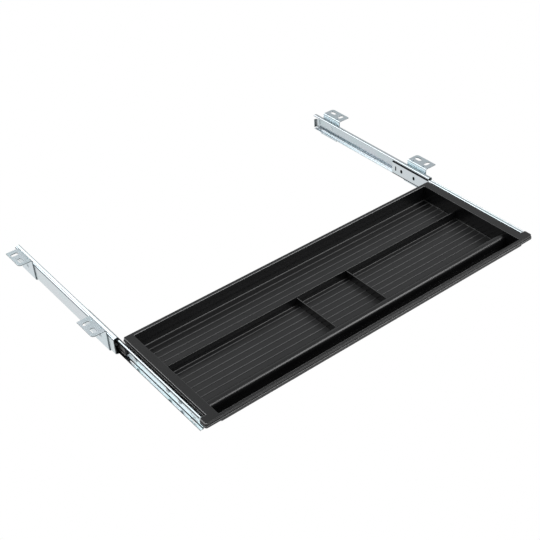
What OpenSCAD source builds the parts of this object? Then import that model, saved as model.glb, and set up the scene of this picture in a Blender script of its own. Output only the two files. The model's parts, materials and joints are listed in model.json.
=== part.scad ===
// Under-desk pencil drawer: a moulded tray on a pair of ball-bearing slides,
// hung from the underside of a desk by four L brackets, drawn fully open.
// Units are millimetres. X runs along the desk, Y from the user to the back, Z up.
// The origin lies in the desk's underside, midway between the slides and level
// with the front ends of the fixed slide members.

/* [Tray] */
// Width over the side rims
tray_w = 600; // [480:5:760]
// Depth from the rear rim's edge to the front edge
tray_d = 216; // [200:1:260]
// Depth of the compartments below the rim
tray_h = 27; // [24:0.5:34]
// Thickness of the outer walls and dividers' shells
wall = 2.4; // [2:0.1:3]
// Thickness of the floor
floor_t = 2.4; // [1.8:0.1:3]
// Width of each side rim
side_rim = 14; // [12:0.5:20]
// Width of the rear rim
rear_rim = 6; // [5:0.5:10]
// Width of the front rim's top
front_rim = 4.5; // [4:0.5:8]
// Thickness of the rim's top plate
rim_t = 2.8; // [2.4:0.1:3.5]
// Height of the rim's upper edge, down to the step in it
lip_h = 4.4; // [3.5:0.1:4.8]
// How far the edge stands out below the step
step_out = 1; // [0.5:0.1:1.5]
// Depth of the skirt under the side and rear rims
skirt_h = 6.5; // [5.5:0.5:7.5]
// Depth of the ears
ear_h = 8; // [8:0.5:9]
// Depth of the front edge between the ears
fascia_h = 10; // [9.5:0.5:12]
// Depth of the side walls that the slides are screwed to
side_wall_h = 20; // [19:0.5:24]
// How far the front edge reaches past each side rim
ear_w = 10; // [4:0.5:10.5]
// Depth of the front bar that carries the ears
ear_d = 14; // [11:0.5:16]
// Radius of the tray's rear corners
corner_r = 2.5; // [2.5:0.5:12]
// Lean of the compartment walls over their height
draft = 1.3; // [0.5:0.1:2]
// Radius where walls meet the floor
floor_r = 2; // [1:0.25:3]
// Distance of the desk's underside above the rim
rim_drop = 9; // [8:0.5:14]

/* [Compartments] */
// Clear depth of the rear compartment at the divider's top
rear_bay = 71; // [50:1:90]
// Height of the long divider above the floor
divider_h = 14; // [8:0.5:20]
// Thickness of the long divider at its top
divider_t = 2.6; // [2:0.1:4]
// Clear width of the middle compartment
middle_bay = 96; // [60:1:160]
// Thickness of the two cross dividers
cross_t = 2; // [1.6:0.1:3]
// Height of the cross dividers above the floor
cross_h = 12.5; // [8:0.5:18]
// Width of the rounded roll behind the pencil trough
roll_w = 15; // [12:0.5:20]
// Height of the roll above the floor
roll_h = 20; // [14:0.5:23]
// Opening of the pencil trough at rim height
trough_w = 25; // [22:0.5:32]
// How far the trough's front wall slopes in towards its floor
trough_slope = 16; // [12:0.5:18]
// Spacing of the fine floor ribs
rib_pitch = 11.75; // [8:0.25:16]
// Width of a fine floor rib
rib_w = 1.3; // [1:0.1:2]

/* [Slides] */
// Length of the fixed slide member
slide_l = 300; // [280:5:350]
// Height of the fixed slide member
slide_h = 30; // [29:0.5:34]
// Depth of the assembled slide across the desk
slide_t = 10.5; // [10.3:0.1:11]
// Gap from the desk's underside to the slide
slide_drop = 7.3; // [6:0.1:9]
// Depth of the fixed member's channel, over its curled edges
cabinet_depth = 8.5; // [8.3:0.1:8.8]
// Fall of the fixed member's flanges from their curled edges to the web, in degrees
flange_fall = 8; // [4:1:8]
// Sheet thickness of both slide members
steel = 1.2; // [1:0.1:1.2]
// Length of the moving slide member
drawer_l = 290; // [270:5:290]
// Height of the moving slide member
drawer_h = 24; // [23.5:0.1:24.4]
// Depth of the moving member's channel
drawer_depth = 6; // [5.8:0.1:6.2]
// Length of both members that overlaps when the drawer is open
overlap = 86; // [80:1:110]
// Gap between a side rim and the moving member
rim_gap = 3.5; // [2:0.1:6]
// Diameter of the bearing balls
ball_d = 3; // [2.8:0.1:3.1]
// Number of balls in each row
ball_n = 7; // [4:1:7]
// Length of the ball cage
cage_l = 82; // [76:1:82]

/* [Brackets] */
// Length of a bracket along the slide
bracket_l = 44; // [40:1:60]
// Reach of the bracket's flange outwards from the slide
bracket_w = 23.5; // [20:0.5:35]
// Sheet thickness of the brackets
bracket_t = 1.6; // [1.5:0.1:2.5]
// Distance of the front bracket's middle from the slide's front end
bracket_front = 37.5; // [35:0.5:80]
// Distance of the rear bracket's middle from the slide's rear end
bracket_rear = 40.5; // [30:0.5:60]
// Radius of the corner that is rounded on each bracket's flange
bracket_r = 5.5; // [3:0.5:8]
// Distance of the two slots from the bracket's middle
slot_offset = 10.25; // [9.5:0.25:11.5]
// Distance of the slots from the slide's outer face
slot_inset = 14.3; // [13:0.1:15]
// Width of the slots
slot_w = 7; // [4.5:0.1:7.2]
// End-to-end length of the slot that runs along the slide
long_slot = 13; // [10:0.5:15]
// End-to-end length of the slot that runs across the slide
cross_slot = 12; // [8:0.5:12]

/* [Hidden] */
$fn = 48;
cut = 1; // how far a cutting solid runs past the face that it cuts

// Across the desk, for the right-hand side
rim_x = tray_w / 2;
well_x = rim_x - side_rim;
web_in_x = rim_x + rim_gap;
slide_out_x = web_in_x + slide_t;
cabinet_lip_x = slide_out_x - cabinet_depth;
drawer_lip_x = web_in_x + drawer_depth;
drawer_web_x = web_in_x + steel;
cabinet_web_x = slide_out_x - steel;
curl_r = 2.2;
ball_x = cabinet_lip_x + curl_r;

// Heights
slide_z = -slide_drop - slide_h / 2;
ball_z = slide_h / 2 - curl_r;
tray_z = -rim_drop;

// Folds of both members, and where the fixed member's web meets its sloping flange
bend_r = 2.2;
bend_x = slide_out_x - bend_r;
web_top = ball_z - tan(flange_fall) * (bend_x - ball_x);

// Along the slide: the open drawer's rear end is what the overlap leaves inside
front_stop_l = 1.8;
end_gap = 0.3;
drawer_rear_y = overlap;
drawer_front_y = drawer_rear_y - drawer_l;
ear_gap = 2;
tray_front_y = drawer_front_y - ear_gap - ear_d;
tray_rear_y = tray_front_y + tray_d;
cage_y = front_stop_l + end_gap;
ball_clear = 0.05;

// Tray places, measured from the rear rim's edge towards the front, as minus y
divider_y = rear_rim + rear_bay;
trough_front = tray_d - front_rim;
roll_front = trough_front - trough_w;
roll_y = roll_front - roll_w / 2;
roll_top = -tray_h + roll_h;
roll_z = roll_top - roll_w / 2;
cross_x = middle_bay / 2 + cross_t / 2;
skirt_t = 2.2;
side_wall_in = 0.6;

// Lever, placed from the fixed member's front end
lever_pivot_y = 6;
lever_front_y = -20;
lever_rear_y = 24;
lever_h = 13;
lever_gap = 0.3;
lever_t = 3.4;
pin_r = 2;
pin_clear = 0.05;
pin_head_r = 3.1;
pin_head_t = 0.8;

// Screws that hold the tray to the moving members: two near its front, one ahead of the lever
front_screw = 52;
second_screw = 81;
rear_screw = 22;
screw_places = [drawer_front_y + front_screw, drawer_front_y + second_screw, lever_front_y - rear_screw];
screw_r = 1.9;
boss_r = 5;
boss_z = slide_z - tray_z;
screw_head_r = 3.6;
screw_head_t = 1.7;
screw_grip = 10.5;

// Openings in the moving member's web, from its rear end
rear_slot_y = 9;
first_oval_y = 23;
second_oval_y = 53;

// Slits beside the fixing lugs, ahead of the lever and behind the member's front end
lug_l = 12;
front_lug_y = 22;
rear_lug_y = 11;

// Rivets that join brackets and fixed members
rivet_r = 2.4;
rivet_head_r = 3.6;
rivet_head_t = 0.5;
rivet_fit = 0.02;
bracket_places = [bracket_front, slide_l - bracket_rear];

module right() {
    children();
}

module left() {
    mirror([1, 0, 0]) children();
}

// Extrudes a drawing of the X-Z plane along Y, from y_start over the length given.
module along_y(y_start, length) {
    translate([0, y_start + length, 0])
        rotate([90, 0, 0])
            linear_extrude(length) children();
}

// Extrudes a drawing of the Y-Z plane along X, from x_start over the length given.
module along_x(x_start, length) {
    translate([x_start, 0, 0])
        rotate([90, 0, 90])
            linear_extrude(length) children();
}

// A round bar along X.
module rod_x(x_start, length, r) {
    translate([x_start, 0, 0])
        rotate([0, 90, 0])
            cylinder(h = length, r = r);
}

// A slot along the drawing's Y axis, with round ends.
module slot(length, width) {
    square([width, length - width], center = true);
    for (end = [-1, 1])
        translate([0, end * (length - width) / 2]) circle(d = width);
}

// A rectangle from two opposite corners with its own radius on the two rear and two front corners.
module round_rect(x1, y1, x2, y2, rear_r, front_r) {
    difference() {
        translate([x1, y1]) square([x2 - x1, y2 - y1]);
        for (side = [0, 1]) {
            x = side == 0 ? x1 : x2;
            inward = side == 0 ? 1 : -1;
            corner_cut(x, y2, inward, -1, rear_r);
            corner_cut(x, y1, inward, 1, front_r);
        }
    }
}

// What a corner loses when it is rounded with radius r; dx and dy point into the shape.
module corner_cut(x, y, dx, dy, r) {
    translate([x, y])
        scale([dx, dy])
            difference() {
                translate([-cut, -cut]) square(r + cut);
                translate([r, r]) circle(r);
            }
}

// The concave fillet that fills an inner corner; dx and dy point away from the corner.
module corner_fill(x, y, dx, dy, r) {
    translate([x, y])
        scale([dx, dy])
            difference() {
                square(r);
                translate([r, r]) circle(r);
            }
}

// The tray's outline from above, drawn inside the true edge by inset.
module rim_outline(inset) {
    front_r = 2.5;
    round_rect(-rim_x + inset, -tray_d + inset, rim_x - inset, -inset, corner_r - inset, front_r - inset);
    round_rect(
        -rim_x - ear_w + inset, -tray_d + inset,
        rim_x + ear_w - inset, -tray_d + ear_d - inset,
        front_r - inset, front_r - inset
    );
}

// The opening that the rim leaves, with small corner radii.
module well_outline() {
    well_r = 2.5;
    round_rect(-well_x, -trough_front, well_x, -rear_rim, well_r, well_r / 2);
}

module rim() {
    translate([0, 0, -rim_t])
        linear_extrude(rim_t)
            difference() {
                rim_outline(0);
                well_outline();
            }
    translate([0, 0, -lip_h])
        linear_extrude(lip_h - rim_t)
            difference() {
                rim_outline(0);
                rim_outline(skirt_t);
            }
    translate([0, 0, -skirt_h])
        linear_extrude(skirt_h - lip_h)
            difference() {
                rim_outline(-step_out);
                rim_outline(skirt_t);
            }
    translate([0, 0, -ear_h])
        linear_extrude(ear_h - skirt_h)
            difference() {
                rim_outline(-step_out);
                rim_outline(skirt_t);
                translate([-tray_w, -tray_d + ear_d]) square([2 * tray_w, tray_d]);
            }
    translate([-well_x, -tray_d - step_out, -fascia_h])
        cube([2 * well_x, skirt_t + step_out, fascia_h - skirt_h]);
    side_walls();
}

// The walls under the side skirts, a little inside their face, that the slides are screwed to.
module side_walls() {
    reach = 6;
    translate([0, 0, -side_wall_h])
        linear_extrude(side_wall_h - skirt_h)
            intersection() {
                difference() {
                    rim_outline(side_wall_in);
                    rim_outline(skirt_t);
                }
                for (side = [-1, 1])
                    translate([side * (rim_x - reach / 2) - reach / 2, -tray_d + ear_d])
                        square([reach, tray_d - ear_d]);
            }
}

// Side view of the tub's outside: drafted rear wall, flat floor, sloped trough front.
module tub_side() {
    base_z = -tray_h - floor_t;
    foot_y = -trough_front + trough_slope - wall / 2;
    difference() {
        polygon([
            [-rear_rim + wall, 0],
            [-rear_rim + wall - draft, base_z],
            [foot_y, base_z],
            [-trough_front - wall, -rim_t],
            [-trough_front - wall, 0]
        ]);
        corner_cut(-rear_rim + wall - draft, base_z, -1, 1, floor_r + wall / 2);
    }
}

// Side view of the hollow above the floor, from the rear wall to the trough's front wall.
module hollow_side() {
    difference() {
        polygon([
            [-rear_rim, cut],
            [-rear_rim, 0],
            [-rear_rim - draft, -tray_h],
            [-trough_front + trough_slope, -tray_h],
            [-trough_front, -rim_t / 2],
            [-trough_front, cut]
        ]);
        divider_side();
        roll_side();
        floor_details();
    }
}

// The long divider between the rear and the front compartments.
module divider_side() {
    top_z = -tray_h + divider_h;
    lean = draft * divider_h / tray_h + 0.8;
    polygon([
        [-divider_y + lean, -tray_h - cut],
        [-divider_y + lean, -tray_h],
        [-divider_y, top_z - divider_t / 2],
        [-divider_y - divider_t, top_z - divider_t / 2],
        [-divider_y - divider_t - lean, -tray_h],
        [-divider_y - divider_t - lean, -tray_h - cut]
    ]);
    translate([-divider_y - divider_t / 2, top_z - divider_t / 2]) circle(divider_t / 2);
    corner_fill(-divider_y + lean, -tray_h, 1, 1, floor_r);
    corner_fill(-divider_y - divider_t - lean, -tray_h, -1, 1, floor_r);
}

// The thick rounded roll that the hand rests on, behind the pencil trough.
module roll_side() {
    roll_body(roll_w / 2, draft, cut);
    corner_fill(-roll_y + roll_w / 2 + draft, -tray_h, 1, 1, floor_r);
    corner_fill(-roll_y - roll_w / 2 - draft, -tray_h, -1, 1, floor_r);
}

module roll_body(r, lean, depth) {
    polygon([
        [-roll_y + r + lean, -tray_h - depth],
        [-roll_y + r + lean, -tray_h],
        [-roll_y + r, roll_z],
        [-roll_y - r, roll_z],
        [-roll_y - r - lean, -tray_h],
        [-roll_y - r - lean, -tray_h - depth]
    ]);
    translate([-roll_y, roll_z]) circle(r);
}

// Fillets along the outer walls and the fine ribs on the compartment floors.
module floor_details() {
    corner_fill(-rear_rim - draft, -tray_h, -1, 1, floor_r);
    rear_first = 13;
    front_first = 9;
    rear_room = rear_bay - rear_first - rib_pitch / 2;
    front_room = roll_y - roll_w / 2 - divider_y - divider_t - front_first - rib_pitch / 2;
    for (i = [0 : floor(rear_room / rib_pitch)])
        floor_rib(rear_rim + rear_first + i * rib_pitch);
    for (i = [0 : floor(front_room / rib_pitch)])
        floor_rib(divider_y + divider_t + front_first + i * rib_pitch);
}

module floor_rib(distance) {
    translate([-distance, -tray_h]) circle(rib_w / 2 + 0.15);
}

// The tub's end wall seen from the front: drafted, with a fillet at the floor.
module end_wall() {
    base_z = -tray_h - floor_t;
    difference() {
        polygon([
            [well_x, 0],
            [well_x - draft, -tray_h],
            [well_x - draft, base_z],
            [well_x + wall - draft, base_z],
            [well_x + wall, 0]
        ]);
        corner_cut(well_x + wall - draft, base_z, -1, 1, floor_r + wall / 2);
    }
    corner_fill(well_x - draft, -tray_h, -1, 1, floor_r);
}

// A cross divider seen from the front, thicker at the floor.
module cross_wall() {
    top_z = -tray_h + cross_h;
    foot = cross_t / 2 + draft / 2;
    polygon([
        [-foot, -tray_h - floor_t / 2],
        [-foot, -tray_h],
        [-cross_t / 2, top_z - cross_t / 2],
        [cross_t / 2, top_z - cross_t / 2],
        [foot, -tray_h],
        [foot, -tray_h - floor_t / 2]
    ]);
    translate([0, top_z - cross_t / 2]) circle(cross_t / 2);
}

// The roll is hollow from below, with thin webs that stiffen it.
module roll_hollow() {
    web_pitch = 60;
    web_t = 2;
    span = 2 * (well_x - 3 * wall);
    bays = floor(span / web_pitch);
    bay = (span - (bays - 1) * web_t) / bays;
    inner_r = roll_w / 2 - wall;
    for (i = [0 : bays - 1])
        along_x(-span / 2 + i * (bay + web_t), bay)
            roll_body(inner_r, draft, floor_t + cut);
}

// A screw boss on the tub's side, through the side wall, with a web up to the rim.
module side_boss() {
    inner = well_x + wall / 3 - draft * boss_z / -tray_h;
    translate([0, 0, boss_z]) rod_x(inner, web_in_x - inner, boss_r);
    along_y(-1, 2)
        polygon([
            [inner, boss_z],
            [rim_x - skirt_t - 2, boss_z],
            [rim_x - skirt_t - 2, -rim_t],
            [inner, -rim_t]
        ]);
}

// The bore that a tray screw is driven into.
module side_bore() {
    translate([0, 0, boss_z])
        rod_x(web_in_x - screw_grip, screw_grip + cut, screw_r);
}

// Sets its children at every tray screw on both sides, in the tray's own place.
module at_screws() {
    for (y = screw_places)
        translate([0, y - tray_rear_y, 0]) {
            right() children();
            left() children();
        }
}

module tray() {
    color("#222426")
        translate([0, tray_rear_y, tray_z])
            difference() {
                union() {
                    rim();
                    tub();
                    at_screws() side_boss();
                }
                roll_hollow();
                at_screws() side_bore();
            }
}

module tub() {
    along_x(-well_x, 2 * well_x)
        difference() {
            tub_side();
            hollow_side();
        }
    intersection() {
        along_y(-tray_d, tray_d) {
            end_wall();
            mirror([1, 0]) end_wall();
        }
        along_x(-rim_x, tray_w) tub_side();
    }
    bay_front = roll_y - roll_w / 2 + wall / 2;
    for (side = [-1, 1])
        translate([side * cross_x, 0, 0])
            along_y(-bay_front, bay_front - divider_y - divider_t / 2) cross_wall();
}

// The moving member's section: a channel of folded sheet, open at x = 0.
module channel(depth, height) {
    difference() {
        bent_block(depth, height, bend_r);
        translate([-cut, 0]) bent_block(depth - steel + cut, height - 2 * steel, bend_r - steel);
    }
}

module bent_block(depth, height, r) {
    difference() {
        translate([0, -height / 2]) square([depth, height]);
        corner_cut(depth, -height / 2, -1, 1, r);
        corner_cut(depth, height / 2, -1, -1, r);
    }
}

// The upper half of the fixed member's section, seen from the front, about the slide's middle:
// the web, a flange that rises towards the drawer, and a curled edge around the balls.
module curled_half() {
    lip_z = drawer_h / 2 + 0.4;
    difference() {
        union() {
            flange_side(curl_r, bend_r);
            translate([bend_x, 0]) square([bend_r, web_top]);
        }
        flange_side(curl_r - steel, bend_r - steel);
        polygon([
            [cabinet_lip_x - cut, -cut],
            [cabinet_web_x, -cut],
            [cabinet_web_x, web_top],
            [bend_x, web_top],
            [ball_x, ball_z],
            [ball_x, lip_z],
            [cabinet_lip_x - cut, lip_z]
        ]);
        translate([ball_x, ball_z]) circle(ball_d / 2 + ball_clear);
    }
}

// The flange's sloping band with round ends, about the ball's centre and the bend's.
module flange_side(r_curl, r_bend) {
    rise = cos(flange_fall);
    run = sin(flange_fall);
    polygon([
        [ball_x, ball_z],
        [ball_x + r_curl * run, ball_z + r_curl * rise],
        [bend_x + r_bend * run, web_top + r_bend * rise],
        [bend_x, web_top]
    ]);
    translate([ball_x, ball_z]) circle(r_curl);
    translate([bend_x, web_top]) circle(r_bend);
}

// Both ball rows, as seen along the slide.
module ball_rows(r) {
    for (row = [-1, 1])
        translate([ball_x, slide_z + row * ball_z]) circle(r);
}

// A small pinch across both ball races that ends the cage's travel.
module race_stop(y_start, from_z, to_z) {
    stop_w = 2;
    for (row = [-1, 1])
        translate([ball_x - stop_w / 2, y_start, slide_z + row * (from_z + to_z) / 2 - (to_z - from_z) / 2])
            cube([stop_w, front_stop_l, to_z - from_z]);
}

// The fixed member: a channel that opens towards the drawer, with a race in each flange
// and its web bent inwards at the rear end.
module cabinet_member() {
    scoop_r = 8;
    scoop_h = 16;
    scoop_z = slide_z - 2.5;
    web_end = slide_l - scoop_r;
    color("#c9d0d4") {
        difference() {
            union() {
                along_y(0, slide_l)
                    translate([0, slide_z]) {
                        curled_half();
                        mirror([0, 1]) curled_half();
                    }
                race_stop(0, ball_z, slide_h / 2 - 0.3);
            }
            translate([cabinet_web_x - cut, web_end, slide_z - web_top])
                cube([steel + 2 * cut, scoop_r + cut, 2 * web_top]);
            rivet_places() rod_x(cabinet_web_x - cut, steel + 2 * cut, rivet_r + rivet_fit);
        }
        translate([slide_out_x - scoop_r, web_end, scoop_z - scoop_h / 2])
            linear_extrude(scoop_h)
                intersection() {
                    difference() {
                        circle(scoop_r);
                        circle(scoop_r - steel);
                    }
                    square(scoop_r);
                }
    }
}

// The moving member: a channel that opens away from the tray and carries it.
module drawer_member() {
    rear_slot_h = 9;
    oval_h = 7;
    color("#d5dadd") {
        difference() {
            along_y(drawer_front_y, drawer_l)
                difference() {
                    translate([drawer_lip_x, slide_z]) mirror([1, 0]) channel(drawer_depth, drawer_h);
                    ball_rows(ball_d / 2 + ball_clear);
                }
            web_slot(drawer_rear_y - rear_slot_y, slide_z, rear_slot_h, 2.8);
            web_slot(drawer_rear_y - first_oval_y, slide_z, oval_h, 5);
            web_slot(drawer_rear_y - second_oval_y, slide_z, oval_h, 5);
            lug_slits(drawer_front_y + front_lug_y);
            lug_slits(lever_front_y - rear_lug_y);
            screw_holes() rod_x(web_in_x - cut, steel + 2 * cut, screw_r + 0.1);
            lever_axis() rod_x(web_in_x - cut, steel + 2 * cut, pin_r + rivet_fit);
        }
        race_stop(drawer_rear_y - front_stop_l, drawer_h / 2 - steel / 2, drawer_h / 2 + 0.9);
    }
}

// An upright slot through the moving member's web.
module web_slot(y, z, length, width) {
    translate([web_in_x - cut, y, z])
        rotate([90, 0, 90])
            linear_extrude(steel + 2 * cut) slot(length, width);
}

// The two narrow slits, one in the web and one in the lower flange, beside a fixing lug.
module lug_slits(y_mid) {
    slit_w = 1.4;
    translate([web_in_x - cut, y_mid - lug_l / 2, slide_z - 4.6])
        cube([steel + 2 * cut, lug_l, slit_w]);
    translate([drawer_web_x + 1, y_mid - lug_l / 2 - 2, slide_z - drawer_h / 2 - cut])
        cube([slit_w, lug_l, steel + 2 * cut]);
}

module screw_holes() {
    for (y = screw_places)
        translate([0, y, slide_z]) children();
}

module lever_axis() {
    translate([0, lever_pivot_y, slide_z]) children();
}

module rivet_places() {
    for (y = bracket_places)
        translate([0, y, slide_z]) children();
}

// The cage: a thin strip between the two members whose edges reach around both races.
module ball_cage() {
    web_t = 1.4;
    flange_t = 0.6;
    corner = 1;
    web_x = drawer_lip_x + 0.6;
    outer_x = web_x + web_t;
    inner_x = cabinet_lip_x + curl_r - ball_d / 2 + 0.3;
    half_h = ball_z + flange_t / 2;
    window_l = 12;
    window_h = 9;
    color("#1d1f22")
        difference() {
            along_y(cage_y, cage_l)
                difference() {
                    union() {
                        translate([web_x, slide_z - half_h]) square([web_t, 2 * half_h]);
                        for (row = [-1, 1])
                            translate([inner_x, slide_z + row * ball_z - flange_t / 2])
                                square([outer_x - inner_x, flange_t]);
                    }
                    corner_cut(outer_x, slide_z - half_h, -1, 1, corner);
                    corner_cut(outer_x, slide_z + half_h, -1, -1, corner);
                }
            ball_places() cylinder(h = 2 * flange_t, d = ball_d + 0.2, center = true);
            for (i = [1 : 3])
                translate([web_x - cut, cage_y + i * cage_l / 4 - window_l / 2, slide_z - window_h / 2])
                    cube([web_t + 2 * cut, window_l, window_h]);
        }
}

module ball_places() {
    pitch = (cage_l - 10) / (ball_n - 1);
    for (row = [-1, 1])
        for (i = [0 : ball_n - 1])
            translate([ball_x, cage_y + 5 + i * pitch, slide_z + row * ball_z]) children();
}

module balls() {
    color("#e4e6e8")
        ball_places() sphere(d = ball_d);
}

// The release lever: a thumb block in front, a bored hub and a hooked tail behind.
module release_lever() {
    hub_r = 5;
    tail_h = 5;
    hook_l = 6;
    block_rear_y = lever_pivot_y - 3;
    color("#17181a")
        translate([drawer_web_x + lever_gap, 0, slide_z])
            difference() {
                along_x(0, lever_t) {
                    round_rect(lever_front_y, -lever_h / 2, block_rear_y, lever_h / 2, 1.5, 1.5);
                    translate([lever_pivot_y, 0]) circle(hub_r);
                    polygon([
                        [block_rear_y - cut, -tail_h / 2],
                        [lever_rear_y, -tail_h / 2],
                        [lever_rear_y, 0],
                        [lever_rear_y - hook_l / 2, lever_h / 2 - 1],
                        [lever_rear_y - hook_l, lever_h / 2 - 1],
                        [lever_rear_y - hook_l, tail_h / 2],
                        [block_rear_y - cut, tail_h / 2]
                    ]);
                }
                translate([0, lever_pivot_y, 0]) rod_x(-cut, lever_t + 2 * cut, pin_r + pin_clear);
                along_x(lever_t - 1, 1 + cut)
                    round_rect(lever_front_y + 2, -lever_h / 2 + 2.5, block_rear_y - 4, 0, 1, 1);
            }
}

// The lever's pin: a headed rivet in the moving member's web.
module lever_pin() {
    head_x = drawer_web_x + 2 * lever_gap + lever_t;
    color("#d9dcde")
        lever_axis() {
            rod_x(web_in_x - pin_head_t, pin_head_t, pin_head_r);
            rod_x(web_in_x - pin_head_t, head_x - web_in_x + 2 * pin_head_t, pin_r);
            rod_x(head_x, pin_head_t, pin_head_r);
        }
}

// A bracket, drawn with the slide's outer face at x = 0 and its middle at y = 0:
// a flange against the desk, a web down the slide and a foot under it.
module bracket_shape() {
    foot_w = 7.5;
    fold_r = 3;
    base_z = -slide_drop - slide_h;
    difference() {
        along_y(-bracket_l / 2, bracket_l) {
            difference() {
                translate([0, -slide_drop - slide_h - bracket_t])
                    square([bracket_w, slide_drop + slide_h + bracket_t]);
                translate([bracket_t, -slide_drop - slide_h - bracket_t - cut])
                    square([bracket_w, slide_drop + slide_h + cut]);
                corner_cut(0, 0, 1, -1, fold_r);
                corner_cut(bracket_t, base_z - bracket_t, -1, 1, fold_r);
            }
            corner_fill(bracket_t, -bracket_t, 1, -1, fold_r - bracket_t);
            translate([-foot_w, base_z - bracket_t]) square([foot_w, bracket_t]);
        }
        bracket_slot(slot_offset) slot(long_slot, slot_w);
        bracket_slot(-slot_offset) rotate(90) slot(cross_slot, slot_w);
        translate([0, 0, -bracket_t - cut])
            linear_extrude(bracket_t + 2 * cut)
                corner_cut(bracket_w, bracket_l / 2, -1, -1, bracket_r);
        gussets() gusset_groove();
        translate([0, 0, slide_z]) rod_x(-cut, bracket_t + 2 * cut, rivet_r + rivet_fit);
    }
    gussets() gusset_rib();
}

module bracket_slot(y) {
    translate([slot_inset, y, -bracket_t - cut])
        linear_extrude(bracket_t + 2 * cut) children();
}

// The two pressed gussets in the bend, clear of the slots.
module gussets() {
    for (end = [-1, 1])
        translate([bracket_t, end * bracket_l * 0.28, -bracket_t]) children();
}

// The hollow side of a gusset, pressed into the outside of the bend.
module gusset_groove() {
    rotate([0, 45, 0])
        translate([0, 0, bracket_t + 0.4])
            rotate([0, 90, 0])
                cylinder(h = 12, r = 1.6, center = true);
}

// The full side of a gusset, a rib across the inside of the bend.
module gusset_rib() {
    leg = 4.5;
    rib_t = 3;
    along_y(-rib_t / 2, rib_t)
        polygon([[-0.4, 0.4], [leg, 0.4], [leg, 0], [0, -leg], [-0.4, -leg]]);
}

module right_bracket(y) {
    color("#b4bfc7")
        translate([slide_out_x, y, 0]) bracket_shape();
}

// The left brackets are the same pressing turned end for end.
module left_bracket(y) {
    color("#b4bfc7")
        translate([-slide_out_x, y, 0]) rotate([0, 0, 180]) bracket_shape();
}

// Hollow-ended rivets: a low head in the slide, a rolled end on the bracket.
module bracket_rivets() {
    bore_r = 1.5;
    color("#aab2b8")
        rivet_places()
            difference() {
                union() {
                    rod_x(cabinet_web_x - rivet_head_t, rivet_head_t, rivet_head_r);
                    rod_x(cabinet_web_x - rivet_head_t, steel + bracket_t + 2 * rivet_head_t, rivet_r);
                    rod_x(slide_out_x + bracket_t, rivet_head_t, rivet_head_r);
                }
                rod_x(slide_out_x + bracket_t - 1.2, 1.2 + rivet_head_t + cut, bore_r);
            }
}

// Pan-head screws through the moving member into the tray's bosses.
module tray_screws() {
    tip_gap = 0.5;
    recess = 0.8;
    color("#cdd2d6")
        screw_holes()
            difference() {
                union() {
                    rod_x(drawer_web_x, screw_head_t, screw_head_r);
                    rod_x(web_in_x - screw_grip + tip_gap, screw_grip - tip_gap + steel, screw_r);
                }
                for (turn = [0, 90])
                    translate([drawer_web_x + screw_head_t - recess, 0, 0])
                        rotate([turn, 0, 0])
                            translate([0, -0.45, -2]) cube([recess + cut, 0.9, 4]);
            }
}

tray();
right() cabinet_member();  // right_cabinet_member
left() cabinet_member();  // left_cabinet_member
right() drawer_member();  // right_drawer_member
left() drawer_member();  // left_drawer_member
right() ball_cage();  // right_ball_cage
left() ball_cage();  // left_ball_cage
right() balls();  // right_balls
left() balls();  // left_balls
right() release_lever();  // right_release_lever
left() release_lever();  // left_release_lever
right() lever_pin();  // right_lever_pin
left() lever_pin();  // left_lever_pin
right_bracket(bracket_front);  // right_front_bracket
right_bracket(slide_l - bracket_rear);  // right_rear_bracket
left_bracket(bracket_front);  // left_front_bracket
left_bracket(slide_l - bracket_rear);  // left_rear_bracket
right() bracket_rivets();  // right_bracket_rivets
left() bracket_rivets();  // left_bracket_rivets
right() tray_screws();  // right_tray_screws
left() tray_screws();  // left_tray_screws
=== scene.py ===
"""Looks of an under-desk pencil drawer: a black moulded tray on zinc-plated ball-bearing slides.

X runs along the desk, Y from the user to the back and Z up. Places and widths named here are in millimetres.
"""

import json
import math
from collections import namedtuple

import bmesh
import bpy
from mathutils import Matrix, Vector

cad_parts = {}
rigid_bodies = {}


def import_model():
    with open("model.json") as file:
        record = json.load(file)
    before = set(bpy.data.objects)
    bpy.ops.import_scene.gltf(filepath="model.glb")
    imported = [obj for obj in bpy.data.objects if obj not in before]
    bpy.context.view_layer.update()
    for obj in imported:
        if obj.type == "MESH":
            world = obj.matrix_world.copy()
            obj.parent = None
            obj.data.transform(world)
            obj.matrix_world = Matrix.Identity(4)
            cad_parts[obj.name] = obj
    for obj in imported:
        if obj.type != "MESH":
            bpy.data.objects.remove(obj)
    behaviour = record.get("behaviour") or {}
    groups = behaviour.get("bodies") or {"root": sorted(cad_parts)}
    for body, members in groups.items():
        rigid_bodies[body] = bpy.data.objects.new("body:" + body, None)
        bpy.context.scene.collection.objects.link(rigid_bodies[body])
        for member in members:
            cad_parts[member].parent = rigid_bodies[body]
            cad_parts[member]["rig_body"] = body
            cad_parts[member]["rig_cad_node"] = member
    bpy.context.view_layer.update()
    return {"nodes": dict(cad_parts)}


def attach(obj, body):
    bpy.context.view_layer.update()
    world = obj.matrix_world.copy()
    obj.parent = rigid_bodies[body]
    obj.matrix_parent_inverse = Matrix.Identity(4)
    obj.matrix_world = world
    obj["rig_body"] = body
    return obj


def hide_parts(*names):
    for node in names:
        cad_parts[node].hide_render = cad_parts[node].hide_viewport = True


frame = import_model()

MM = 0.001

# Camera, fitted to the photograph; what it clips is in metres
CAMERA_PLACE = Vector((-794.3, -1052.3, 956.8)) * MM
CAMERA_TARGET = Vector((-48.4, -19.5, -9.0)) * MM
CAMERA_ROLL = math.radians(-3.73)
CAMERA_LENS = 70.5
CAMERA_SENSOR = 36
CAMERA_CLIP = (0.05, 50)

# Lamps: turn from +X and height in degrees, distance, width and height in metres, and luminance
LAMPS = (
    ("front_softbox", -54, 40, 2.4, (1.4, 0.8), 4.4),
    ("back_softbox", 120, 45, 2.8, (2.7, 1.3), 1.75),
)

# Watts per square metre of lamp for a luminance of 1
LAMP_WATTS = 4.0

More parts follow.
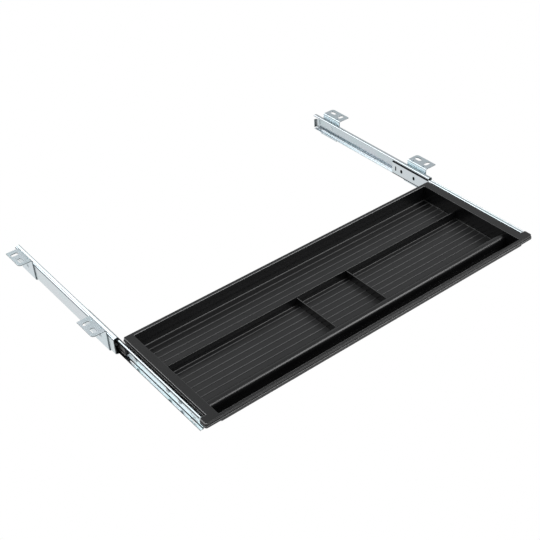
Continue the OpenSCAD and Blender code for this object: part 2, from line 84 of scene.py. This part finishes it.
# The room: how bright it is along the horizon at its left and its right and overhead, and its tint
HORIZON_LEFT = 0.22
HORIZON_RIGHT = 0.5
OVERHEAD = 0.64
ROOM_TINT = (0.98, 0.99, 1.0, 1)

# Where the room changes, in parts of a direction's X and of its Z
LEFT_TO_RIGHT = (-0.6, 0.3)
HORIZON_TO_OVERHEAD = (0.14, 0.34)

# The floor of the stage: its distance below the desk's underside and its size, both in metres, and its shade
FLOOR_DROP = 0.33
FLOOR_SIZE = 9.0
FLOOR_PALE = (0.86, 0.86, 0.86, 1)

# The tray's outline above the step, its well, and the front end of the compartments' floors
TRAY_SIDE = 300.0
TRAY_REAR = -4.0
TRAY_FRONT = -220.0
WELL_SIDE = 286.0
WELL_REAR = -10.0
ROLL_REAR = -175.0

# The divider's foot, from its front to its rear
DIVIDER_FOOT = (-87.5, -78.0)

# How far from the middle the painted highlight on the front edge begins
FRONT_HIGHLIGHT_FROM = 170.0

# The tray's heights: the rim, the step under its edge, the front edge's bottom, the floor, and just over its ribs
RIM_TOP = -9.0
STEP_TOP = -13.4
EDGE_BOTTOM = -19.0
FLOOR_TOP = -36.0
ABOVE_RIBS = -34.9

# The slides' middle height, and half the height of a moving and of a fixed member
SLIDE_MIDDLE = -22.3
MOVING_HALF = 12.0
FIXED_HALF = 15.0

# Across a slide, out from the drawer's middle: each member's lip, its bends' inner end and its web's inner face
MOVING_WEB = 304.7
MOVING_BEND = 305.7
MOVING_LIP = 309.5
FIXED_LIP = 305.5
FIXED_BEND = 311.8
FIXED_WEB = 312.8

# The fixed members' races: the balls' middles, across and up from the slide's middle, and the hollow's reach
RACE_X = 307.7
RACE_RISE = 12.7
RACE_HOLLOW = 2.0

# The groove at the foot of each race: its place, the cuts that let the flange's flat sink, and how far it sinks
RACE_FOOT = 311.2
FOOT_CUTS = (0, 0.35, 0.75)
SUNK_FROM = 0.3
FLANGE_SINK = 0.45

# Heights up to which the lower groove reaches, and from which the upper one does
GROOVE_REACH = (-36.4, -8.3)

# The brackets' middles along the slide, half their length, their sheet, and where their flanges are flat
BRACKET_PLACES = (("front", 37.5), ("rear", 259.5))
BRACKET_HALF = 22.0
BRACKET_SHEET = 1.6
BRACKET_FLAT = 319.0

# Widths of the rounds on the pieces' edges
RIM_ROUND = 0.8
SKIRT_ROUND = 0.4
LEVER_ROUND = 0.25
BRACKET_ROUND = 0.22
SHEET_ROUND = 0.12
SCREW_ROUND = 0.12
PIN_ROUND = 0.1
CAGE_ROUND = 0.08

# Degrees of turn from which an edge is rounded, and up to which a round is shaded smooth
SHARP_TURN = 35
SMOOTH_TURN = 34

# A face wider than this is a flat and not a facet of a round
FLAT_WIDTH = 0.85

# A flat keeps a sharp edge where the next face turns by more degrees than this: a round's facet, another flat
FLAT_TURN = (18, 2)

# Finishes: two shades each, between which the surface drifts
BLACK_PLASTIC = ((0.0034, 0.0035, 0.0038, 1), (0.0050, 0.0052, 0.0055, 1))
# a paler black painted as highlight on the floor's ribs and the side rims' inner edges
PAINTED_HIGHLIGHT_PLASTIC = ((0.050, 0.051, 0.052, 1), (0.070, 0.071, 0.072, 1))
# a pale grey painted as highlight on the rounded edges of the rim and step
PAINTED_EDGE_HIGHLIGHT = ((0.220, 0.222, 0.224, 1), (0.300, 0.302, 0.304, 1))
SLIDE_ZINC = ((0.58, 0.66, 0.68, 1), (0.61, 0.65, 0.68, 1))
# a darker copy of the slide zinc, painted as shade inside the fixed member
SHADED_INSIDE_ZINC = ((0.51, 0.60, 0.62, 1), (0.56, 0.60, 0.64, 1))
BRACKET_ZINC = ((0.58, 0.67, 0.70, 1), (0.61, 0.67, 0.71, 1))
# a darker copy of the slide zinc, painted as shade on the web inside the moving member's channel
SHADED_CHANNEL_ZINC = ((0.50, 0.57, 0.58, 1), (0.55, 0.58, 0.60, 1))
# a dark zinc painted as lines of shade and dark reflection on the fixed member's bends and grooves
PAINTED_DARK_LINE_ZINC = ((0.17, 0.20, 0.22, 1), (0.22, 0.22, 0.27, 1))
SHEARED_STEEL = ((0.17, 0.19, 0.20, 1), (0.30, 0.33, 0.34, 1))
BALL_STEEL = ((0.70, 0.71, 0.72, 1), (0.80, 0.80, 0.80, 1))

# Painted shade: a near black, and a dim steel blue painted as the dark reflection in the fixed members' races
PAINTED_SHADE = (0.010, 0.011, 0.013, 1)
PAINTED_BLUE_REFLECTION = (0.10, 0.13, 0.16, 1)

# Where the painted shade begins and where it is full along the slide
PAINTED_RACE_SPAN = (185, 265)
PAINTED_LIP_SPAN = (88, 86)
PAINTED_TRAY_SIDE_SPAN = (-3, -6)
PAINTED_MOVING_RACE_SPAN = (-3, 0)

# The middle band of a noise, which holds most of it
NOISE_BAND = (0.35, 0.65)

# A face of a slide: its place out from the drawer's middle and away from the slide's, and how it faces both ways
SlideFace = namedtuple("SlideFace", "out rise outward away")


def point_camera():
    camera_data = bpy.data.cameras.new("camera")
    camera = bpy.data.objects.new("camera", camera_data)
    bpy.context.scene.collection.objects.link(camera)
    back = (CAMERA_PLACE - CAMERA_TARGET).normalized()
    level = Vector((0, 0, 1)).cross(back).normalized()
    upright = back.cross(level)
    turn = Matrix.Rotation(CAMERA_ROLL, 3, back)
    right = turn @ level
    up = turn @ upright
    camera.matrix_world = Matrix((
        (right.x, up.x, back.x, CAMERA_PLACE.x),
        (right.y, up.y, back.y, CAMERA_PLACE.y),
        (right.z, up.z, back.z, CAMERA_PLACE.z),
        (0, 0, 0, 1),
    ))
    camera_data.lens = CAMERA_LENS
    camera_data.sensor_width = CAMERA_SENSOR
    camera_data.clip_start, camera_data.clip_end = CAMERA_CLIP
    bpy.context.scene.camera = camera


def light_panel(name, azimuth, height, distance, size, luminance):
    """A soft rectangular lamp that faces the origin."""
    light = bpy.data.lights.new(name, "AREA")
    light.shape = "RECTANGLE"
    light.size, light.size_y = size
    light.energy = luminance * LAMP_WATTS * size[0] * size[1]
    lamp = bpy.data.objects.new(name, light)
    bpy.context.scene.collection.objects.link(lamp)
    turn, rise = math.radians(azimuth), math.radians(height)
    toward = Vector((math.cos(turn) * math.cos(rise), math.sin(turn) * math.cos(rise), math.sin(rise)))
    lamp.location = toward * distance
    lamp.rotation_euler = (-toward).to_track_quat("-Z", "Y").to_euler()


def node_tree(owner):
    """The empty node tree of a material or of the world."""
    owner.use_nodes = True
    owner.node_tree.nodes.clear()
    return owner.node_tree


def add_node(tree, kind, **settings):
    node = tree.nodes.new(kind)
    for name, value in settings.items():
        setattr(node, name, value)
    return node


def set_inputs(node, values):
    for name, value in values.items():
        node.inputs[name].default_value = value


def link(tree, source, target):
    tree.links.new(source, target)


def spread(tree, value, low, high, band=NOISE_BAND):
    """Stretches the given band of a value to run from low to high."""
    stretch = add_node(tree, "ShaderNodeMapRange")
    set_inputs(stretch, {"From Min": band[0], "From Max": band[1], "To Min": low, "To Max": high})
    link(tree, value, stretch.inputs["Value"])
    return stretch.outputs["Result"]


def set_stage():
    """A floor that is white where the camera or a shiny piece sees it, and pale paper to the light."""
    bpy.ops.mesh.primitive_plane_add(size=FLOOR_SIZE, location=(0, 0, -FLOOR_DROP))
    floor = bpy.context.active_object
    floor.name = "floor"
    material = bpy.data.materials.new("pale_floor")
    tree = node_tree(material)
    output = add_node(tree, "ShaderNodeOutputMaterial")
    paper = add_node(tree, "ShaderNodeBsdfDiffuse")
    paper.inputs["Color"].default_value = FLOOR_PALE
    glow = add_node(tree, "ShaderNodeEmission")
    set_inputs(glow, {"Color": (1, 1, 1, 1), "Strength": 1.0})
    path = add_node(tree, "ShaderNodeLightPath")
    seen = add_node(tree, "ShaderNodeMath", operation="MAXIMUM")
    link(tree, path.outputs["Is Camera Ray"], seen.inputs[0])
    link(tree, path.outputs["Is Glossy Ray"], seen.inputs[1])
    mix = add_node(tree, "ShaderNodeMixShader")
    link(tree, seen.outputs["Value"], mix.inputs["Fac"])
    link(tree, paper.outputs["BSDF"], mix.inputs[1])
    link(tree, glow.outputs["Emission"], mix.inputs[2])
    link(tree, mix.outputs["Shader"], output.inputs["Surface"])
    floor.data.materials.append(material)


def set_world():
    """A soft pale room: dim along its horizon, dimmest at the left, even overhead, and white to the camera."""
    world = bpy.data.worlds.new("studio")
    bpy.context.scene.world = world
    tree = node_tree(world)
    output = add_node(tree, "ShaderNodeOutputWorld")
    room = add_node(tree, "ShaderNodeBackground")
    look = add_node(tree, "ShaderNodeTexCoord")
    axes = add_node(tree, "ShaderNodeSeparateXYZ")
    link(tree, look.outputs["Generated"], axes.inputs["Vector"])
    horizon = spread(tree, axes.outputs["X"], HORIZON_LEFT, HORIZON_RIGHT, LEFT_TO_RIGHT)
    height = spread(tree, axes.outputs["Z"], 0, 1, HORIZON_TO_OVERHEAD)
    mix = add_node(tree, "ShaderNodeMix", data_type="FLOAT")
    mix.inputs["B"].default_value = OVERHEAD
    link(tree, height, mix.inputs["Factor"])
    link(tree, horizon, mix.inputs["A"])
    path = add_node(tree, "ShaderNodeLightPath")
    seen = add_node(tree, "ShaderNodeMix", data_type="FLOAT")
    seen.inputs["B"].default_value = 1.0
    link(tree, path.outputs["Is Camera Ray"], seen.inputs["Factor"])
    link(tree, mix.outputs["Result"], seen.inputs["A"])
    link(tree, seen.outputs["Result"], room.inputs["Strength"])
    room.inputs["Color"].default_value = ROOM_TINT
    link(tree, room.outputs["Background"], output.inputs["Surface"])


def object_noise(tree, scale, detail, stretch=(1, 1, 1)):
    """A noise in the object's own space; scale is in features per metre."""
    place = add_node(tree, "ShaderNodeTexCoord")
    mapping = add_node(tree, "ShaderNodeMapping")
    mapping.inputs["Scale"].default_value = stretch
    noise = add_node(tree, "ShaderNodeTexNoise")
    set_inputs(noise, {"Scale": scale, "Detail": detail})
    link(tree, place.outputs["Object"], mapping.inputs["Vector"])
    link(tree, mapping.outputs["Vector"], noise.inputs["Vector"])
    return noise.outputs["Fac"]


def blend_shades(tree, value, shades):
    """Drifts from the first shade to the second as the value rises."""
    mix = add_node(tree, "ShaderNodeMix", data_type="RGBA")
    mix.inputs["A"].default_value, mix.inputs["B"].default_value = shades
    link(tree, value, mix.inputs["Factor"])
    return mix.outputs["Result"]


def bump(tree, height, distance, strength):
    """A relief that follows the height given, as deep as the distance."""
    node = add_node(tree, "ShaderNodeBump")
    set_inputs(node, {"Distance": distance * MM, "Strength": strength})
    link(tree, height, node.inputs["Height"])
    return node.outputs["Normal"]


def new_surface(name):
    """A new material, its node tree and its shader."""
    material = bpy.data.materials.new(name)
    tree = node_tree(material)
    shader = add_node(tree, "ShaderNodeBsdfPrincipled")
    output = add_node(tree, "ShaderNodeOutputMaterial")
    link(tree, shader.outputs["BSDF"], output.inputs["Surface"])
    return material, tree, shader


def moulded_plastic(name, shades, roughness):
    """Black plastic with a fine spark-eroded grain and slightly paler patches."""
    material, tree, shader = new_surface(name)
    patches = object_noise(tree, scale=14, detail=4)
    grain = object_noise(tree, scale=1600, detail=2)
    link(tree, blend_shades(tree, spread(tree, patches, 0, 1), shades), shader.inputs["Base Color"])
    link(tree, spread(tree, patches, roughness, roughness + 0.04), shader.inputs["Roughness"])
    link(tree, bump(tree, grain, distance=0.04, strength=0.5), shader.inputs["Normal"])
    shader.inputs["IOR"].default_value = 1.5
    return material


def dull_black(name, roughness, ior=1.5):
    """Plain black nylon or, with a low index of refraction, a black painted as shade that hardly shines."""
    material, tree, shader = new_surface(name)
    patches = object_noise(tree, scale=160, detail=3)
    grain = object_noise(tree, scale=2200, detail=2)
    link(tree, blend_shades(tree, patches, BLACK_PLASTIC), shader.inputs["Base Color"])
    link(tree, spread(tree, patches, roughness, roughness + 0.1), shader.inputs["Roughness"])
    link(tree, bump(tree, grain, distance=0.02, strength=0.4), shader.inputs["Normal"])
    shader.inputs["IOR"].default_value = ior
    return material


def zinc_plate(name, shades, roughness, shaded_span=None, painted_shade=PAINTED_SHADE):
    """Bright zinc plate: its tint drifts from teal to lilac, with fine rolling lines along Y.

    Where a span is given, a painted shade sets in along Y between its two places.
    """
    material, tree, shader = new_surface(name)
    drift = object_noise(tree, scale=55, detail=2, stretch=(1, 0.4, 1))
    rolling = object_noise(tree, scale=900, detail=3, stretch=(1, 0.02, 1))
    tint = blend_shades(tree, spread(tree, drift, 0, 1), shades)
    # painted shade laid over the zinc's tint along Y
    if shaded_span:
        place = add_node(tree, "ShaderNodeTexCoord")
        axes = add_node(tree, "ShaderNodeSeparateXYZ")
        link(tree, place.outputs["Object"], axes.inputs["Vector"])
        film = add_node(tree, "ShaderNodeMix", data_type="RGBA")
        reach = (shaded_span[0] * MM, shaded_span[1] * MM)
        link(tree, spread(tree, axes.outputs["Y"], 0, 1, reach), film.inputs["Factor"])
        link(tree, tint, film.inputs["A"])
        film.inputs["B"].default_value = painted_shade
        tint = film.outputs["Result"]
    link(tree, tint, shader.inputs["Base Color"])
    link(tree, spread(tree, rolling, roughness, roughness + 0.04), shader.inputs["Roughness"])
    link(tree, bump(tree, rolling, distance=0.001, strength=0.2), shader.inputs["Normal"])
    shader.inputs["Metallic"].default_value = 1.0
    return material


def sheared_steel():
    """The cut edges of the sheet: duller, darker, with the drag lines of the punch."""
    material, tree, shader = new_surface("sheared_steel_edge")
    drag = object_noise(tree, scale=1500, detail=2, stretch=(1, 1, 0.15))
    link(tree, blend_shades(tree, spread(tree, drag, 0, 1), SHEARED_STEEL), shader.inputs["Base Color"])
    link(tree, spread(tree, drag, 0.38, 0.5), shader.inputs["Roughness"])
    link(tree, bump(tree, drag, distance=0.01, strength=0.4), shader.inputs["Normal"])
    shader.inputs["Metallic"].default_value = 1.0
    return material


def polished_steel():
    """The balls, with a film of grease that dulls them in patches."""
    material, tree, shader = new_surface("polished_ball_steel")
    film = object_noise(tree, scale=700, detail=2)
    link(tree, spread(tree, film, 0.08, 0.2), shader.inputs["Roughness"])
    link(tree, blend_shades(tree, film, BALL_STEEL), shader.inputs["Base Color"])
    shader.inputs["Metallic"].default_value = 1.0
    return material


def make_finishes():
    """Every finish of the drawer, by the piece or the place that wears it."""
    return {
        "tray": moulded_plastic("moulded_black_plastic", BLACK_PLASTIC, roughness=0.20),
        "tray_floor": moulded_plastic("textured_black_floor", BLACK_PLASTIC, roughness=0.32),
        "tray_painted_highlight": moulded_plastic("black_plastic_painted_highlight", PAINTED_HIGHLIGHT_PLASTIC, roughness=0.38),
        "tray_edge_highlight": moulded_plastic("black_plastic_painted_edge_highlight", PAINTED_EDGE_HIGHLIGHT, roughness=0.22),
        "cage": dull_black("cage_nylon", roughness=0.38),
        "lever": dull_black("lever_nylon", roughness=0.32),
        # a near black that hardly shines, painted where shade falls
        "painted_shade": dull_black("dull_black_painted_shade", roughness=0.5, ior=1.08),
        "fixed_member": zinc_plate("zinc_plate_fixed_member", SLIDE_ZINC, roughness=0.23),
        "fixed_inside": zinc_plate("zinc_plate_painted_shade_inside", SHADED_INSIDE_ZINC, roughness=0.21),
        "fixed_bend": zinc_plate("zinc_plate_painted_dark_lines", PAINTED_DARK_LINE_ZINC, roughness=0.25),
        "fixed_race": zinc_plate("fixed_member_race", SHADED_INSIDE_ZINC, 0.26, PAINTED_RACE_SPAN, PAINTED_BLUE_REFLECTION),
        "fixed_lip": zinc_plate("fixed_member_lip", SLIDE_ZINC, 0.23, PAINTED_LIP_SPAN),
        "moving_member": zinc_plate("zinc_plate_moving_member", SLIDE_ZINC, roughness=0.19),
        "moving_channel": zinc_plate("moving_member_channel", SHADED_CHANNEL_ZINC, roughness=0.22),
        "moving_tray_side": zinc_plate("moving_member_tray_side", SLIDE_ZINC, 0.3, PAINTED_TRAY_SIDE_SPAN),
        "moving_race": zinc_plate("moving_member_race", SLIDE_ZINC, 0.21, PAINTED_MOVING_RACE_SPAN),
        "bracket": zinc_plate("zinc_plate_bracket", BRACKET_ZINC, roughness=0.28),
        "hardware": zinc_plate("zinc_plate_small_parts", SLIDE_ZINC, roughness=0.22),
        "cut_edge": sheared_steel(),
        "balls": polished_steel(),
    }


def make_active(piece):
    bpy.ops.object.select_all(action="DESELECT")
    piece.select_set(True)
    bpy.context.view_layer.objects.active = piece


def finished_copy(node, cuts=()):
    """A copy of a CAD node with its doubles merged and its flat faces made whole.

    A cut keeps a face that runs round an opening in pieces that a bevel can follow.
    """
    make_active(frame["nodes"][node])
    bpy.ops.object.duplicate()
    piece = bpy.context.active_object
    piece.name = "finished_" + node
    bpy.ops.object.parent_clear(type="CLEAR_KEEP_TRANSFORM")
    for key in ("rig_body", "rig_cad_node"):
        if key in piece:
            del piece[key]
    bpy.ops.object.mode_set(mode="EDIT")
    bpy.ops.mesh.select_all(action="SELECT")
    bpy.ops.mesh.remove_doubles(threshold=0.002 * MM)
    for place, across in cuts:
        bpy.ops.mesh.select_all(action="SELECT")
        bpy.ops.mesh.bisect(plane_co=place, plane_no=across)
        bpy.ops.mesh.mark_seam()
    bpy.ops.mesh.select_all(action="SELECT")
    bpy.ops.mesh.dissolve_limited(angle_limit=math.radians(0.4), delimit={"SEAM"})
    bpy.ops.mesh.dissolve_degenerate(threshold=0.004 * MM)
    bpy.ops.object.mode_set(mode="OBJECT")
    return piece


def break_edges(piece, width, segments=3, wanted=None):
    """Rounds the piece's sharp edges, or only those whose middle passes the test."""
    make_active(piece)
    bpy.context.tool_settings.mesh_select_mode = (False, True, False)
    bpy.ops.object.mode_set(mode="EDIT")
    bpy.ops.mesh.select_all(action="DESELECT")
    mesh = bmesh.from_edit_mesh(piece.data)
    for edge in mesh.edges:
        if len(edge.link_faces) == 2 and edge.calc_face_angle() > math.radians(SHARP_TURN):
            middle = (edge.verts[0].co + edge.verts[1].co) / (2 * MM)
            if wanted is None or wanted(middle, edge):
                edge.select_set(True)
    bmesh.update_edit_mesh(piece.data)
    bpy.ops.mesh.bevel(offset=width * MM, segments=segments, affect="EDGES", clamp_overlap=False)
    bpy.ops.object.mode_set(mode="OBJECT")


def is_flat(face):
    """Whether a face is wide enough to be a flat and not a facet of a round."""
    return 2 * face.calc_area() / face.calc_perimeter() > FLAT_WIDTH * MM


def settle_shading(piece):
    """Smooth over rounds and fillets, while a flat face keeps its own normal to its edges."""
    make_active(piece)
    bpy.ops.object.shade_smooth_by_angle(angle=math.radians(SMOOTH_TURN))
    bpy.context.tool_settings.mesh_select_mode = (False, True, False)
    bpy.ops.object.mode_set(mode="EDIT")
    bpy.ops.mesh.select_all(action="DESELECT")
    mesh = bmesh.from_edit_mesh(piece.data)
    for edge in mesh.edges:
        flats = sum(is_flat(face) for face in edge.link_faces)
        if len(edge.link_faces) == 2 and flats and edge.calc_face_angle() > math.radians(FLAT_TURN[flats - 1]):
            edge.select_set(True)
    bmesh.update_edit_mesh(piece.data)
    bpy.ops.mesh.mark_sharp()
    bpy.ops.mesh.select_all(action="DESELECT")
    bpy.ops.mesh.select_mode(type="FACE")
    mesh = bmesh.from_edit_mesh(piece.data)
    for face in mesh.faces:
        if is_flat(face):
            face.select_set(True)
    bmesh.update_edit_mesh(piece.data)
    bpy.ops.mesh.mod_weighted_strength(set=True, face_strength="STRONG")
    bpy.ops.object.mode_set(mode="OBJECT")
    weigh = piece.modifiers.new("flat_faces", "WEIGHTED_NORMAL")
    weigh.keep_sharp = True
    weigh.use_face_influence = True
    weigh.thresh = 0
    weigh.weight = 50
    bpy.ops.object.modifier_apply(modifier=weigh.name)


def dress(piece, node, body, material):
    """Gives a finished piece its material, and puts it on its body in its CAD node's place."""
    piece.data.materials.clear()
    piece.data.materials.append(material)
    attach(piece, body)
    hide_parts(node)


def face_finish(piece, material, wanted):
    """Gives another material to the faces whose middle and normal pass the test."""
    if material.name not in piece.data.materials:
        piece.data.materials.append(material)
    number = piece.data.materials.find(material.name)
    for face in piece.data.polygons:
        if wanted(face.center / MM, face.normal):
            face.material_index = number


def dress_node(node, body, material, width=0):
    """Makes, rounds and dresses the finished piece for a CAD node."""
    piece = finished_copy(node)
    if width:
        break_edges(piece, width)
    settle_shading(piece)
    dress(piece, node, body, material)
    return piece


def rim_edge(m, edge):
    """Whether an edge lies in the rim's top face."""
    return abs(m.z - RIM_TOP) < 0.05


def skirt_edge(m, edge):
    """Whether an edge runs round the outside of the step or of the skirt under it."""
    slant = edge.verts[0].co.z - edge.verts[1].co.z
    if abs(slant) > 0.01 * MM or edge.calc_face_angle_signed() < 0:
        return False
    outside = abs(m.x) > TRAY_SIDE + 0.5 or not TRAY_FRONT - 0.5 < m.y < TRAY_REAR + 0.5
    rear_corner = abs(m.x) > TRAY_SIDE - 6 and m.y > TRAY_REAR - 6
    return (outside or rear_corner) and EDGE_BOTTOM - 0.1 < m.z < STEP_TOP + 0.4


def tray_floor(m, n):
    """The floor of the well, with its ribs and the fillets round it."""
    return abs(m.x) < WELL_SIDE and m.z < ABOVE_RIBS and n.z > 0.3


def painted_highlight_place(m, n):
    """Where highlights are painted on the tray: the floor's ribs and the inner edges of its side rims."""
    on_floor = ROLL_REAR < m.y < WELL_REAR - 1.5 and not DIVIDER_FOOT[0] < m.y < DIVIDER_FOOT[1]
    rib = FLOOR_TOP + 0.1 < m.z < ABOVE_RIBS and n.z > 0.2 and abs(n.x) < 0.1
    inner_side = WELL_SIDE - 0.1 < abs(m.x) < WELL_SIDE + 1 and on_rim_round(m, n)
    return (on_floor and rib) or inner_side


def on_rim_round(m, n):
    """Whether a face is part of the round on the rim's top edges."""
    return RIM_TOP - RIM_ROUND < m.z < RIM_TOP and 0.1 < n.z < 0.98


def highlighted_edge(m, n):
    """The rounded edges of the rim and of the step, where a pale grey is painted as highlight."""
    outer = abs(m.x) > TRAY_SIDE - 1 or (abs(m.x) > FRONT_HIGHLIGHT_FROM and m.y < TRAY_FRONT + 1)
    inner_rear = WELL_REAR - 2 < m.y < WELL_REAR + 1 and abs(m.x) < WELL_SIDE
    step = STEP_TOP - SKIRT_ROUND - 0.05 < m.z < STEP_TOP + 0.05 and 0.1 < n.z < 0.98
    return ((outer or inner_rear) and on_rim_round(m, n)) or step


def beside_slide(m, n):
    """The skirt beside a slide, below the step."""
    return abs(m.x) > TRAY_SIDE + 0.5 and m.z < STEP_TOP - 0.5 and m.y > TRAY_FRONT + 4


def dress_tray(finish):
    """The moulding: crisp but rounded edges on the rim, on the step in its side and on its skirt."""
    across = ((0, 0, 0), (1, 0, 0))
    along = ((0, (TRAY_FRONT * MM) / 2, 0), (0, 1, 0))
    piece = finished_copy("tray", (across, along))
    break_edges(piece, RIM_ROUND, 5, rim_edge)
    break_edges(piece, SKIRT_ROUND, 4, skirt_edge)
    settle_shading(piece)
    dress(piece, "tray", "drawer", finish["tray"])
    face_finish(piece, finish["tray_floor"], tray_floor)
    # painted highlight on the ribs and the side rims' inner edges
    face_finish(piece, finish["tray_painted_highlight"], painted_highlight_place)
    # painted highlight on the rim's and step's rounded edges
    face_finish(piece, finish["tray_edge_highlight"], highlighted_edge)
    # the skirt below the step beside each slide is painted black as shade
    face_finish(piece, finish["painted_shade"], beside_slide)


def on_slide(m, n):
    """Places a face on its slide. Both slides are alike, and so are their upper and lower halves."""
    hand = math.copysign(1, m.x)
    half = math.copysign(1, m.z - SLIDE_MIDDLE)
    return SlideFace(hand * m.x, half * (m.z - SLIDE_MIDDLE), hand * n.x, half * n.z)


def fixed_inside(m, n):
    """The inner face of the fixed member's web."""
    face = on_slide(m, n)
    return face.out > FIXED_WEB - 0.8 and face.outward < -0.9


def fixed_bend(m, n):
    """The fixed member's long bends and the groove at the foot of each race, painted darker as lines of shade and
    dark reflection.
    """
    face = on_slide(m, n)
    bend = face.out > FIXED_BEND + 0.1 and face.rise > FIXED_HALF - 3.1 and 0.82 < abs(face.outward) < 0.99
    at_foot = RACE_FOOT - 0.1 < face.out < RACE_FOOT + FOOT_CUTS[-1]
    groove = at_foot and not GROOVE_REACH[0] < m.z < GROOVE_REACH[1] and abs(face.away) > 0.5
    return bend or groove


def fixed_race(m, n):
    """The hollow of the fixed member's races, where the balls run."""
    face = on_slide(m, n)
    to_ball = (RACE_X - face.out, RACE_RISE - face.rise)
    faces_ball = to_ball[0] * face.outward + to_ball[1] * face.away > 0
    return face.out < RACE_X + 1.7 and math.hypot(*to_ball) < RACE_HOLLOW and faces_ball


def fixed_lower_lip(m, n):
    """The curled edge of the fixed member's lower flange."""
    return abs(m.x) < FIXED_LIP + 0.8 and m.z < SLIDE_MIDDLE - 12.2


def moving_channel(m, n):
    """The web inside the moving member's channel."""
    face = on_slide(m, n)
    return face.out < MOVING_WEB + 0.3 and face.outward > 0.9


def moving_tray_side(m, n):
    """The moving member's web where it faces the tray."""
    face = on_slide(m, n)
    return face.out < MOVING_WEB - 0.7 and face.outward < -0.9


def moving_inner_bend(m, n):
    """Inside the moving member's channel: its inner bends and the underside of its upper flange."""
    face = on_slide(m, n)
    bend = face.out < MOVING_BEND and face.rise > MOVING_HALF - 2.35 and face.outward > 0.1
    flange = m.z > SLIDE_MIDDLE and face.rise > MOVING_HALF - 1.5 and face.away < -0.5
    return face.rise < MOVING_HALF - 1.05 and (bend or flange)


def moving_race(m, n):
    """The outer faces of the moving member's flanges, where the balls run."""
    face = on_slide(m, n)
    return face.out > MOVING_WEB + 0.3 and face.rise > MOVING_HALF - 1 and face.away > 0


def moving_tray_bend(m, n):
    """The moving member's outer bends beside the tray."""
    face = on_slide(m, n)
    bend = face.out < MOVING_WEB + 0.6 and face.outward < -0.2 and face.rise * face.away > 1.5
    beside = face.out < MOVING_WEB + 1.3 and face.rise > MOVING_HALF - 0.1 and face.away > 0
    return face.rise > MOVING_HALF - 2.1 and (bend or beside)


def moving_lip(m, n):
    """The edges of the moving member's flanges."""
    return abs(m.x) > MOVING_LIP - 0.5


def sheared_end(m, n):
    """The ends of the sheet and of its openings."""
    return abs(n.y) > 0.7


def sink_flanges(piece, hand):
    """Sets the flat of each flange a little below the ball race that runs along its edge."""
    make_active(piece)
    bpy.context.tool_settings.mesh_select_mode = (True, False, False)
    bpy.ops.object.mode_set(mode="EDIT")
    for cut in FOOT_CUTS:
        bpy.ops.mesh.select_all(action="SELECT")
        bpy.ops.mesh.bisect(plane_co=(hand * (RACE_FOOT + cut) * MM, 0, 0), plane_no=(1, 0, 0))
    for half in (1, -1):
        bpy.ops.mesh.select_all(action="DESELECT")
        mesh = bmesh.from_edit_mesh(piece.data)
        for vert in mesh.verts:
            rise = half * (vert.co.z / MM - SLIDE_MIDDLE)
            if abs(vert.co.x) > (RACE_FOOT + SUNK_FROM) * MM and rise > FIXED_HALF - 6:
                vert.select_set(True)
        bmesh.update_edit_mesh(piece.data)
        bpy.ops.transform.translate(value=(0, 0, -half * FLANGE_SINK * MM))
    bpy.ops.object.mode_set(mode="OBJECT")


def dress_fixed_member(side, hand, finish):
    node = side + "_cabinet_member"
    member = finished_copy(node)
    sink_flanges(member, hand)
    break_edges(member, SHEET_ROUND)
    settle_shading(member)
    dress(member, node, "desk_side", finish["fixed_member"])
    # painted shade: a darker zinc on the web's inner face
    face_finish(member, finish["fixed_inside"], fixed_inside)
    face_finish(member, finish["fixed_bend"], fixed_bend)
    # the races get the darker zinc and a painted dark blue reflection towards the rear
    face_finish(member, finish["fixed_race"], fixed_race)
    # the lower lip is painted black as shade along its front part
    face_finish(member, finish["fixed_lip"], fixed_lower_lip)
    face_finish(member, finish["cut_edge"], sheared_end)


def dress_moving_member(side, hand, finish):
    """The drawer's member, with painted shade in its channel, on its flanges' edges and on its races inside the
    fixed member; on the left slide, also on its side and bend towards the tray.
    """
    member = dress_node(side + "_drawer_member", "drawer", finish["moving_member"], SHEET_ROUND)
    # a darker zinc painted as shade inside the channel
    face_finish(member, finish["moving_channel"], moving_channel)
    # on the left slide, shade is painted on the web where the tray covers it
    if hand < 0:
        face_finish(member, finish["moving_tray_side"], moving_tray_side)
    # painted shade inside the channel, under the upper flange
    face_finish(member, finish["painted_shade"], moving_inner_bend)
    # shade is painted on the races where they run inside the fixed member
    face_finish(member, finish["moving_race"], moving_race)
    # on the left, the bend beside the tray is painted black as shade
    face_finish(member, finish["moving_race" if hand > 0 else "painted_shade"], moving_tray_bend)
    # the flanges' edges are painted black as shade
    face_finish(member, finish["painted_shade"], moving_lip)
    face_finish(member, finish["cut_edge"], sheared_end)


def dress_bracket(side, end, middle, finish):
    """A bracket; its ends, its flange's edge and its slots are as the shears and the punch left them."""

    def cut_by_tool(m, n):
        across_end = abs(n.y) > 0.9 and abs(m.y - middle) > BRACKET_HALF - 0.5
        through_flange = m.z > -BRACKET_SHEET - 0.1 and abs(n.z) < 0.5 and abs(m.x) > BRACKET_FLAT
        return across_end or through_flange

    node = f"{side}_{end}_bracket"
    piece = dress_node(node, "desk_side", finish["bracket"], BRACKET_ROUND)
    face_finish(piece, finish["cut_edge"], cut_by_tool)


def dress_slide(side, hand, finish):
    dress_fixed_member(side, hand, finish)
    dress_moving_member(side, hand, finish)
    for end, middle in BRACKET_PLACES:
        dress_bracket(side, end, middle, finish)
    cage, lever = side + "_cage", side + "_lever"
    dress_node(side + "_ball_cage", cage, finish["cage"], CAGE_ROUND)
    dress_node(side + "_balls", cage, finish["balls"])
    dress_node(side + "_release_lever", lever, finish["lever"], LEVER_ROUND)
    dress_node(side + "_lever_pin", "drawer", finish["hardware"], PIN_ROUND)
    dress_node(side + "_bracket_rivets", "desk_side", finish["hardware"], PIN_ROUND)
    dress_node(side + "_tray_screws", "drawer", finish["hardware"], SCREW_ROUND)


def main():
    bpy.context.scene.view_settings.view_transform = "Standard"
    point_camera()
    set_world()
    set_stage()
    for lamp in LAMPS:
        light_panel(*lamp)
    finish = make_finishes()
    dress_tray(finish)
    dress_slide("right", 1, finish)
    dress_slide("left", -1, finish)


main()
